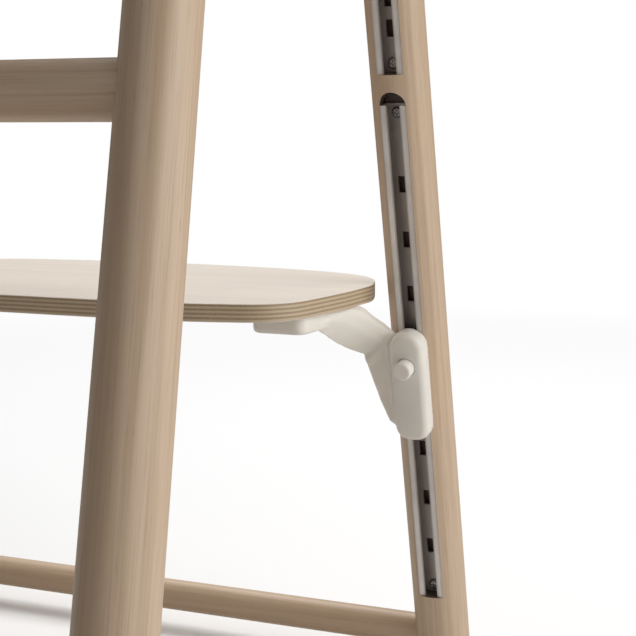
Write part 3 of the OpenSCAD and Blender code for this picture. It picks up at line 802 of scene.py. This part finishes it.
def nodeTree(name, inputs):
    tree = bpy.data.node_groups.new(name, "GeometryNodeTree")
    tree.interface.new_socket("Geometry", in_out="INPUT", socket_type="NodeSocketGeometry")
    tree.interface.new_socket("Geometry", in_out="OUTPUT", socket_type="NodeSocketGeometry")
    for label, value in inputs.items():
        socket = tree.interface.new_socket(label, in_out="INPUT", socket_type="NodeSocketFloat")
        socket.default_value = value
    return tree, tree.nodes.new("NodeGroupInput"), tree.nodes.new("NodeGroupOutput")


def times(tree, socket, factor):
    return node(tree, "ShaderNodeMath", {0: socket, 1: factor}, operation="MULTIPLY").outputs[0]


def atEachPoint(tree, source, target, shape, material):  # stands the shape on each point, turned to its "aim"
    aim = node(tree, "GeometryNodeInputNamedAttribute", {"Name": "aim"}, data_type="FLOAT_VECTOR")
    turn = node(tree, "FunctionNodeAlignEulerToVector", {"Vector": aim.outputs["Attribute"]}, axis="Z")
    points = node(tree, "GeometryNodeMeshToPoints", {"Mesh": source.outputs["Geometry"]})
    placed = node(tree, "GeometryNodeInstanceOnPoints", {"Points": points.outputs["Points"], "Instance": shape,
                                                         "Rotation": turn.outputs["Rotation"]})
    solid = node(tree, "GeometryNodeRealizeInstances", {"Geometry": placed.outputs["Instances"]})
    painted = node(tree, "GeometryNodeSetMaterial", {"Geometry": solid.outputs["Geometry"],
                                                     "Material": materials[material]})
    tree.links.new(painted.outputs["Geometry"], target.inputs["Geometry"])


def scatter(name, tree, places, sizes):  # places of (point, aim); the sizes go in by socket identifier
    piece = fromData(name, [p for p, _ in places], [])
    aims = piece.data.attributes.new("aim", "FLOAT_VECTOR", "POINT")
    for i, (_, aim) in enumerate(places):
        aims.data[i].vector = aim
    step = piece.modifiers.new("scatter", "NODES")
    step.node_group = tree
    for item in tree.interface.items_tree:
        if item.in_out == "INPUT" and item.name in sizes:
            step[item.identifier] = sizes[item.name]
    return bake(piece)


screw = {
    "headDiameter": 8 * mm,
    "headHeight": 2.4 * mm,
    "shankDiameter": 4 * mm,
    "shankLength": 12 * mm,
    "recess": 0.56,
    "slot": 0.15,
}


def makeScrewTree():  # aim is the way the head faces; the point is under the head
    tree, source, target = nodeTree("screws", {key: screw[key] for key in
                                               ("headDiameter", "headHeight", "shankDiameter", "shankLength")})
    head, high = source.outputs["headDiameter"], source.outputs["headHeight"]

    def moved(shape, z):
        place = node(tree, "ShaderNodeCombineXYZ", {"Z": z}).outputs["Vector"]
        return node(tree, "GeometryNodeTransform", {"Geometry": shape, "Translation": place}).outputs["Geometry"]

    lower = node(tree, "GeometryNodeMeshCylinder", {"Vertices": 40, "Radius": times(tree, head, 0.5),
                                                    "Depth": times(tree, high, 0.55)})
    crown = node(tree, "GeometryNodeMeshCone", {"Vertices": 40, "Radius Top": times(tree, head, 0.36),
                                                "Radius Bottom": times(tree, head, 0.5),
                                                "Depth": times(tree, high, 0.45)})
    shank = node(tree, "GeometryNodeMeshCylinder", {"Vertices": 24,
                                                    "Radius": times(tree, source.outputs["shankDiameter"], 0.5),
                                                    "Depth": source.outputs["shankLength"]})
    parts = [moved(lower.outputs["Mesh"], times(tree, high, 0.275)),
             moved(crown.outputs["Mesh"], times(tree, high, 0.55)),
             moved(shank.outputs["Mesh"], times(tree, source.outputs["shankLength"], -0.499))]
    bars = []
    for wide, deep in ((screw["recess"], screw["slot"]), (screw["slot"], screw["recess"])):
        size = node(tree, "ShaderNodeCombineXYZ", {"X": times(tree, head, wide), "Y": times(tree, head, deep),
                                                   "Z": high})
        bar = node(tree, "GeometryNodeMeshCube", {"Size": size.outputs["Vector"]})
        bars.append(moved(bar.outputs["Mesh"], times(tree, high, 1.05)))
    joined = node(tree, "GeometryNodeMeshBoolean", operation="UNION", solver="EXACT")
    for part in parts:
        tree.links.new(part, joined.inputs["Mesh 2"])
    carved = node(tree, "GeometryNodeMeshBoolean", operation="DIFFERENCE", solver="EXACT")
    tree.links.new(joined.outputs["Mesh"], carved.inputs["Mesh 1"])
    for bar in bars:
        tree.links.new(bar, carved.inputs["Mesh 2"])
    atEachPoint(tree, source, target, carved.outputs["Mesh"], "zinc")
    return tree


spring = {
    "diameter": 4.4 * mm,
    "wire": 0.6 * mm,
    "length": 3.5 * mm,
    "turns": 4.0,
}


def makeSpringTree():
    tree, source, target = nodeTree("springs", spring)
    radius = times(tree, source.outputs["diameter"], 0.5)
    coil = node(tree, "GeometryNodeCurveSpiral", {"Resolution": 32, "Rotations": source.outputs["turns"],
                                                  "Start Radius": radius, "End Radius": radius,
                                                  "Height": source.outputs["length"]})
    section = node(tree, "GeometryNodeCurvePrimitiveCircle", {"Resolution": 10,
                                                              "Radius": times(tree, source.outputs["wire"], 0.5)})
    wire = node(tree, "GeometryNodeCurveToMesh", {"Curve": coil.outputs["Curve"],
                                                  "Profile Curve": section.outputs["Curve"], "Fill Caps": True})
    atEachPoint(tree, source, target, wire.outputs["Mesh"], "zinc")
    return tree


shift = Vector((0, frontSlope, 1)) * (seatTop - footrestTop)
for kind, build, body, nodeName, material in (
        ("bracket", makeBracket, "{0}", "{0}_bracket_{1}", "moulding"),
        ("cover", makeCover, "{0}", "{0}_cover_{1}", "moulding"),
        ("button", makeButton, "{0}_button_{1}", "{0}_button_{1}", "button")):
    first = build("pattern", footrestTop)
    for board, offset in (("footrest", Vector((0, 0, 0))), ("seat", shift)):
        for side, flip in (("right", False), ("left", True)):
            piece = copied(first, f"{board}_{side}_{kind}", offset, flip)
            ready(piece, body.format(board, side), "moulding", material, nodeName.format(board, side))
    drop(first)
    print(kind, "made")

topJoint = {
    "low": 736 * mm,
    "high": 778 * mm,
    "wall": 4.2 * mm,
    "cap": 8 * mm,
    "shoulder": [(5 * mm, 0), (1.5 * mm, 3.5 * mm), (0, 9 * mm)],  # below the cap's top, inset
    "voxel": 1.3 * mm,
    "softening": 9,
    "screwHeight": 761 * mm,
    "sinkRadius": 4.6 * mm,
    "sinkDepth": 3.2 * mm,
    "padThickness": 12 * mm,
    "padFrom": 3 * mm,
    "padLength": 64 * mm,
    "padLow": 744 * mm,
    "padHigh": 780 * mm,
}


def rearAxisAt(height):
    x, y = -chair["rearX"], frontY + chair["footDepth"]
    return Vector((x + splaySlope * height, y - rearSlope * height, height))


back = {
    "thickness": 9 * mm,
    "armAngle": math.radians(21),
    "armGap": 1 * mm,
    "cornerRadius": 62 * mm,
    "middleY": 64 * mm,
    "low": 662 * mm,
    "high": 836 * mm,
    "armLow": 742 * mm,
    "armHigh": 782 * mm,
    "armRun": 98 * mm,
    "blend": 118 * mm,
    "arris": 2.2 * mm,
    "rows": 22,
}


def armLine():  # where the right arm's outer face starts, its direction and its outward side
    jointInner = chair["sideX"] - chair["legRadius"] - topJoint["wall"]
    start = Vector((back["thickness"] + back["armGap"] - jointInner,
                    frontY + frontSlope * topJoint["high"] + 8 * mm))
    turn = back["armAngle"]
    return start, Vector((math.sin(turn), math.cos(turn))), Vector((-math.cos(turn), math.sin(turn)))


def makeTopJoint(name):
    bm = bmesh.new()
    r = chair["legRadius"] + topJoint["wall"]
    marks = []
    for axisAt, up in ((legAxisAt, legUp), (rearAxisAt, rearUp)):
        marks += ring(axisAt(topJoint["low"]), up, r, 56)
        for below, inset in topJoint["shoulder"]:
            marks += ring(axisAt(topJoint["high"] + topJoint["cap"] - below), up, r - inset, 56)
    hullOf(bm, marks)
    start, ahead, aside = armLine()
    flat = [start + ahead * run + aside * away for away in (0, topJoint["padThickness"])
            for run in (topJoint["padFrom"], topJoint["padFrom"] + topJoint["padLength"])]
    hullOf(bm, [Vector((p.x, p.y, z)) for p in flat for z in (topJoint["padLow"], topJoint["padHigh"])])
    piece = blendShape(fromBmesh(name, bm), topJoint["voxel"], topJoint["softening"])
    for axisAt in (legAxisAt, rearAxisAt):
        cut(piece, rod("bore", axisAt(topJoint["low"] - 40 * mm), axisAt(topJoint["high"]),
                       chair["legRadius"] + 0.15 * mm, 96))
        p = axisAt(topJoint["screwHeight"])
        floor = p + Vector((topJoint["sinkDepth"] - r, 0, 0))
        cut(piece, rod("sink", floor - Vector((22 * mm, 0, 0)), floor, topJoint["sinkRadius"], 48))
    return smooth(piece, 40)


first = makeTopJoint("pattern")
for side, flip in (("right", False), ("left", True)):
    piece = copied(first, f"top_joint_{side}_moulding", flip=flip)
    ready(piece, "frame", "moulding", "moulding", f"top_joint_{side}")
drop(first)
print("top joints made")


def backLine(offset):  # half of the line seen from above, right side, from the arm's end to the middle
    start, ahead, side = armLine()
    turn = back["armAngle"]
    run = (back["middleY"] - start.y - back["cornerRadius"] * (1 - math.sin(turn))) / math.cos(turn)
    bend = start + ahead * run
    centre = bend + Vector((math.cos(turn), -math.sin(turn))) * back["cornerRadius"]
    line = [start + ahead * (run * i / 14) + side * offset for i in range(14)]
    for i in range(25):
        a = math.pi - turn - (math.pi / 2 - turn) * i / 24
        line.append(centre + Vector((math.cos(a), math.sin(a))) * (back["cornerRadius"] + offset))
    return line + [line[-1] + Vector((-centre.x * i / 14, 0)) for i in range(1, 15)]


def makeBackrest(name):
    inner = -back["thickness"] / 2
    line = backLine(inner)
    line += [Vector((-p.x, p.y)) for p in reversed(line[:-1])]
    runs = [0]
    for a, b in zip(line, line[1:]):
        runs.append(runs[-1] + (b - a).length)

    def blendAt(run):  # 1 on the arms, 0 across the panel, by the distance from the nearer arm's end
        u = (min(run, runs[-1] - run) - back["armRun"]) / back["blend"]
        return (1 + math.cos(math.pi * min(1, max(0, u)))) / 2

    rows = back["rows"]
    points, faces = [], []
    for p, run in zip(line, runs):
        share = blendAt(run)
        low = back["low"] + (back["armLow"] - back["low"]) * share
        high = back["high"] + (back["armHigh"] - back["high"]) * share
        for k in range(rows + 1):
            points.append((p.x, p.y, low + (high - low) * k / rows))
    for i in range(len(line) - 1):
        for k in range(rows):
            a = i * (rows + 1) + k
            faces.append((a, a + 1, a + rows + 2, a + rows + 1))
    sheet = fromData(name, points, faces)
    middle = BVHTree.FromPolygons([Vector(p) for p in points], faces)
    step = sheet.modifiers.new("wall", "SOLIDIFY")
    step.thickness = back["thickness"]
    step.offset = 0
    step.use_even_offset = True
    bake(sheet)
    smooth(sheet, 45)
    rounded(sheet, back["arris"], 4, 50)
    smooth(sheet, 40)
    depth = sheet.data.attributes.new("ply", "FLOAT", "POINT")
    for vert in sheet.data.vertices:
        near, normal, _, _ = middle.find_nearest(vert.co)
        away = (vert.co - near).dot(normal)
        share = max(-1, min(1, away / (back["thickness"] / 2)))
        depth.data[vert.index].value = (1 + share) * plywood["thickness"] / 2
    return sheet


ready(makeBackrest("backrest_shell"), "frame", "plywood", "plywood", "backrest")
print("backrest made")

guard = {
    "diameter": 18 * mm,
    "reach": 176 * mm,
    "corner": 70 * mm,
    "tilt": math.radians(11.5),
    "eye": 21 * mm,
    "eyeWidth": 18 * mm,
    "eyeArris": 1.2 * mm,
    "gap": 7.5 * mm,  # from the top joint's side
    "pin": 6 * mm,
}
guardJoint = next(j for j in frame["joints"] if j["name"] == "guard_swing")
guardPivot = Vector(guardJoint["pos_m"])
guardX = chair["sideX"] - chair["legRadius"] - topJoint["wall"] - guard["gap"] - guard["diameter"] / 2
guardAhead = Vector((0, -math.cos(guard["tilt"]), -math.sin(guard["tilt"])))


def makeGuardBar(name):
    path = []
    run = guard["reach"] - guard["corner"]
    for i in range(9):
        path.append(guardPivot + Vector((-guardX, 0, 0)) + guardAhead * (run * i / 8))
    centre = guardPivot + Vector((-guardX + guard["corner"], 0, 0)) + guardAhead * run
    for i in range(1, 25):
        a = math.pi / 2 * i / 24
        path.append(centre + (Vector((-math.cos(a), 0, 0)) + guardAhead * math.sin(a)) * guard["corner"])
    path += [Vector((-p.x, p.y, p.z)) for p in reversed(path)]
    piece = sweep(name, path, guard["diameter"] / 2, 48)
    for side in (-1, 1):
        half = guard["eyeWidth"] / 2
        edge = quarter(guard["eyeArris"])
        profile = [(guard["eye"] / 2 - i, r - half) for i, r in edge]
        profile += [(guard["eye"] / 2 - i, half - r) for i, r in reversed(edge)]
        eye = lathe("eye", profile, guardPivot + Vector((side * guardX, 0, 0)), Vector((1, 0, 0)), 64)
        cut(piece, eye, "UNION")
        cut(piece, rod("hole", guardPivot + Vector((side * guardX - 15 * mm, 0, 0)),
                       guardPivot + Vector((side * guardX + 15 * mm, 0, 0)), guard["pin"] / 2 + 0.05 * mm, 48))
    return smooth(piece, 35)


post = {
    "saddleXs": [-20 * mm, -8 * mm, 8 * mm, 20 * mm],
    "saddleRadius": 12 * mm,
    "saddleAhead": 2 * mm,
    "saddleDrop": 13 * mm,
    "footXs": [-14 * mm, 14 * mm],
    "footRadius": 6 * mm,
    "footBack": 12 * mm,
    "footHeight": 66 * mm,
    "voxel": 1.1 * mm,
    "softening": 8,
}


def makeCrotchPost(name):
    front = guardPivot + guardAhead * guard["reach"]
    marks = []
    for x in post["saddleXs"]:
        centre = Vector((x, front.y - post["saddleAhead"], front.z - post["saddleDrop"]))
        marks += ring(centre, Vector((1, 0, 0)), post["saddleRadius"], 40)
    for x in post["footXs"]:
        centre = Vector((x, front.y + post["footBack"], seatTop + post["footHeight"]))
        marks += ring(centre, Vector((1, 0, 0)), post["footRadius"], 30)
    piece = blendShape(hulled(name, marks), post["voxel"], post["softening"])
    half = Vector((60 * mm, 0, 0))
    cut(piece, rod("bar", front - half, front + half, guard["diameter"] / 2 + 0.05 * mm, 96))
    return smooth(piece, 45)


ready(makeGuardBar("guard_hoop"), "guard", "beech", "beechAcross", "guard_bar")
ready(makeCrotchPost("crotch_guard"), "guard", "moulding", "moulding", "crotch_post")
print("guard made")

fit = {
    "webFace": 7.82,
    "railScrews": [(footrestTop, -210.0), (footrestTop, 112.5), (seatTop, -149.5), (seatTop, 41.5)],
    "plateScrewX": 52.0,
    "plateScrewYs": [48.0, 84.0],
    "plateScrewSink": 2.6,
    "jointScrewSink": 3.8 * mm,
    "armScrewRuns": [14 * mm, 34 * mm],
    "crotchScrewX": 12 * mm,
    "crotchScrewSink": 4.4 * mm,
    "leverFace": 22.22,
    "springAt": -69.85,
    "springTravel": 2.3,
    "railScrew": {"headDiameter": 7 * mm, "headHeight": 2 * mm},
    "plateScrew": {"headHeight": 2.6 * mm, "shankLength": 16 * mm},
    "jointScrew": {"headHeight": 2.6 * mm, "shankLength": 17 * mm},
    "backScrew": {"shankLength": 17 * mm},
    "crotchScrew": {"headDiameter": 4 * mm, "shankDiameter": 3 * mm, "shankLength": 9 * mm},
}


def bothSides(places):  # right-hand places and their mirror images
    return [(Vector((side * -p.x, p.y, p.z)), Vector((side * -aim.x, aim.y, aim.z)))
            for p, aim in places for side in (-1, 1)]


def makeScrews():
    tree = makeScrewTree()

    def screws(name, body, replaced, places, sizes, material="zinc"):
        piece = smooth(scatter(name, tree, bothSides(places), {**screw, **fit[sizes]}), 30)
        ready(piece, body, "steel", material, replaced)

    rails = [(onLeg(0, fit["webFace"], along, height), legOut) for height, along in fit["railScrews"]]
    screws("rail_fixings", "frame", "rail_screws", rails, "railScrew", "darkZinc")
    for board, height in (("footrest", footrestTop), ("seat", seatTop)):
        heads = [(underPlate(fit["plateScrewX"], y, fit["plateScrewSink"] - 11 - bracket["flange"], height),
                  Vector((0, 0, -1)))
                 for y in fit["plateScrewYs"]]
        screws(f"{board}_fixings", board, f"{board}_screws", heads, "plateScrew")
    sockets = []
    for axisAt in (legAxisAt, rearAxisAt):
        p = axisAt(topJoint["screwHeight"])
        face = p.x - chair["legRadius"] - topJoint["wall"] + fit["jointScrewSink"]
        sockets.append((Vector((face, p.y, p.z)), Vector((-1, 0, 0))))
    screws("joint_fixings", "frame", "joint_screws", sockets, "jointScrew")
    start, ahead, aside = armLine()
    arms = []
    for run in fit["armScrewRuns"]:
        p = start + ahead * run - aside * back["thickness"]
        arms.append((Vector((p.x, p.y, (back["armLow"] + back["armHigh"]) / 2)), Vector((-aside.x, -aside.y, 0))))
    screws("back_fixings", "frame", "backrest_screws", arms, "backScrew")
    down = Vector((0, guardAhead.z, -guardAhead.y)) * -1
    p = guardPivot + guardAhead * guard["reach"] + down * (guard["diameter"] / 2 + fit["crotchScrewSink"])
    posts = [(p + Vector((-fit["crotchScrewX"], 0, 0)), down)]
    screws("crotch_fixings", "guard", "crotch_screws", posts, "crotchScrew")


def makeSprings():
    tree = makeSpringTree()
    for board, height in (("footrest", footrestTop), ("seat", seatTop)):
        place = onLeg(0, fit["leverFace"] + 0.4, fit["springAt"], height)
        for side, mirror in (("right", 1), ("left", -1)):
            p = Vector((mirror * place.x, place.y, place.z))
            piece = smooth(scatter(f"{board}_{side}_coil", tree, [(p, legOut)], spring), 60)
            ready(piece, board, "steel", "zinc", f"{board}_spring_{side}")
            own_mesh(piece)


makeScrews()
makeSprings()
print("screws and springs made")

studio = {
    "seen": (0.86, 0.86, 0.86, 1),
    "bounce": (0.72, 0.70, 0.68, 1),
    "fadeFrom": 0.7,
    "fadeTo": 2.2,
    "glow": (0.10, 1.0),
    "worldSeen": 1.0,
    "worldLight": 0.20,
    "softboxes": {  # place, aim, size, watts
        "overhead": ((0.25, -1.4, 2.1), (0, 0, 0.3), (2.0, 1.6), 43),
        "rightSide": ((-2.1, -0.05, 1.1), (-0.1, 0, 0.4), (2.2, 1.6), 33),
    },
}


def makeFloor():
    floor = fromData("floor", [(-30, -30, 0), (30, -30, 0), (30, 30, 0), (-30, 30, 0)], [(0, 1, 2, 3)])
    s = Shading("floor")
    away = s.add("ShaderNodeVectorMath", {0: s.places()}, operation="LENGTH")
    fade = s.level(away.outputs["Value"], 0.0, 1.0, studio["fadeFrom"], studio["fadeTo"])
    s.surface(Base_Color=s.blend(fade, studio["seen"], (0, 0, 0, 1)), Roughness=0.9, Specular_IOR_Level=0.0,
              Emission_Color=(1, 1, 1, 1), Emission_Strength=s.level(fade, *studio["glow"]))
    bounce = s.add("ShaderNodeBsdfDiffuse", {"Color": studio["bounce"]})
    seen = s.add("ShaderNodeLightPath").outputs["Is Camera Ray"]
    mix = s.add("ShaderNodeMixShader", {0: seen, 1: bounce.outputs["BSDF"], 2: s.shader.outputs["BSDF"]})
    feed(s.tree, s.tree.nodes["Material Output"], {"Surface": mix.outputs["Shader"]})
    floor.data.materials.append(s.material)


def softbox(name, place, aim, size, power):
    data = bpy.data.lights.new(name, "AREA")
    data.shape = "RECTANGLE"
    data.size, data.size_y = size
    data.energy = power
    lamp = bpy.data.objects.new(name, data)
    bpy.context.scene.collection.objects.link(lamp)
    lamp.location = place
    lamp.rotation_euler = (Vector(aim) - Vector(place)).to_track_quat("-Z", "Y").to_euler()


def makeStudio():
    makeFloor()
    world = bpy.data.worlds.new("world")
    bpy.context.scene.world = world
    world.use_nodes = True
    tree = world.node_tree
    seen = node(tree, "ShaderNodeLightPath").outputs["Is Camera Ray"]
    strength = node(tree, "ShaderNodeMapRange", {"Value": seen, "To Min": studio["worldLight"],
                                                 "To Max": studio["worldSeen"]})
    feed(tree, tree.nodes["Background"], {"Color": (1, 1, 1, 1), "Strength": strength.outputs["Result"]})
    for name, settings in studio["softboxes"].items():
        softbox(name, *settings)


makeStudio()
